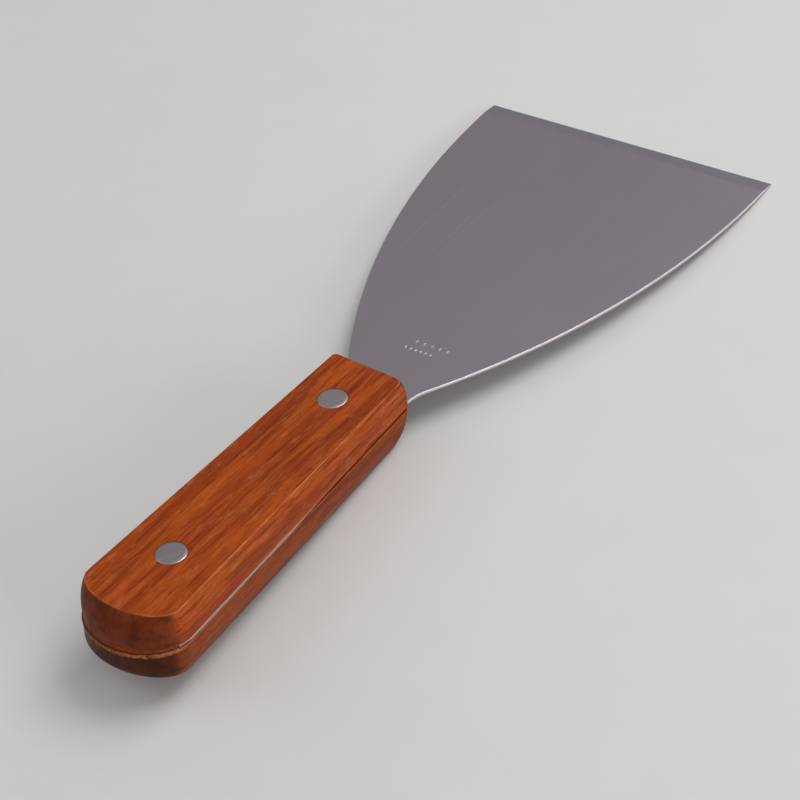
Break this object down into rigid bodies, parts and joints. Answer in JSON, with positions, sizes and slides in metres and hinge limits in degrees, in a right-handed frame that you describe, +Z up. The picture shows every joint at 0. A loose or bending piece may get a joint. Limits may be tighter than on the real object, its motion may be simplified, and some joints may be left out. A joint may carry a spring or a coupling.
{
  "type": "drywall taping knife",
  "caption": "Flared flat steel blade with a straight ground working edge and a full tang riveted between wooden handle scales.",
  "frame": {"origin": "under the middle of the whole knife, level with the underside of the handle", "axes": "+Y along the knife from the butt to the working edge, +Z up through the flat of the blade, +X across the blade"},
  "size_m": [0.1, 0.254, 0.02],
  "materials": {
    "blade_steel": "fine satin, brushed across the blade",
    "handle_wood": "red-brown hardwood, satin varnish",
    "rivet_steel": "satin, ground flush"
  },
  "bodies": {
    "root": {"blade": "blade_steel", "upper_scale": "handle_wood", "lower_scale": "handle_wood", "front_rivet_stud": "rivet_steel", "front_rivet_sleeve": "rivet_steel", "rear_rivet_stud": "rivet_steel", "rear_rivet_sleeve": "rivet_steel"}
  },
  "joints": []
}
